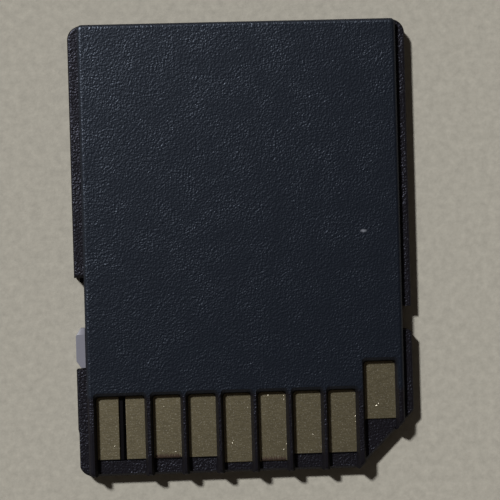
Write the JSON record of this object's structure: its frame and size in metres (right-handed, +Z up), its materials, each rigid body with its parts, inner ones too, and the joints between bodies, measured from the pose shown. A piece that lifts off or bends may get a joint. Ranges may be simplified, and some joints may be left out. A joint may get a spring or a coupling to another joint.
{
  "type": "memory card adapter",
  "caption": "Flat adapter with a cut corner that carries a small memory card in a full-size card slot, with sunk contacts and a write-protect slider.",
  "frame": {"origin": "middle of the label side, which lies on the surface, under the centre of the card's outline", "axes": "+X across the card to the side of the cut corner, +Y along the card to the end where the small card goes in, +Z up out of the contact side"},
  "size_m": [0.024, 0.032, 0.0021],
  "materials": {
    "cover_plastic": "black ABS, spark-eroded fine texture",
    "slider_plastic": "grey-lilac, smooth moulded",
    "carrier_plastic": "black, smooth moulded",
    "contact_metal": "thin dull gold plating over copper alloy, finely scratched",
    "spring_steel": "rolled strip"
  },
  "bodies": {
    "housing": {"back_cover": "cover_plastic", "front_cover": "cover_plastic", "terminal_carrier": "carrier_plastic", "card_retention_spring": "spring_steel", "terminal_data2": "contact_metal", "terminal_detect": "contact_metal", "terminal_command": "contact_metal", "terminal_ground": "contact_metal", "terminal_power": "contact_metal", "terminal_clock": "contact_metal", "terminal_data0": "contact_metal", "terminal_data1": "contact_metal"},
    "slider": {"write_protect_slider": "slider_plastic"}
  },
  "joints": [
    {"name": "write_protect_slide", "type": "slide", "parent": "housing", "child": "slider", "axis": [0, 1, 0], "range_m": [0, 0.0032]}
  ]
}
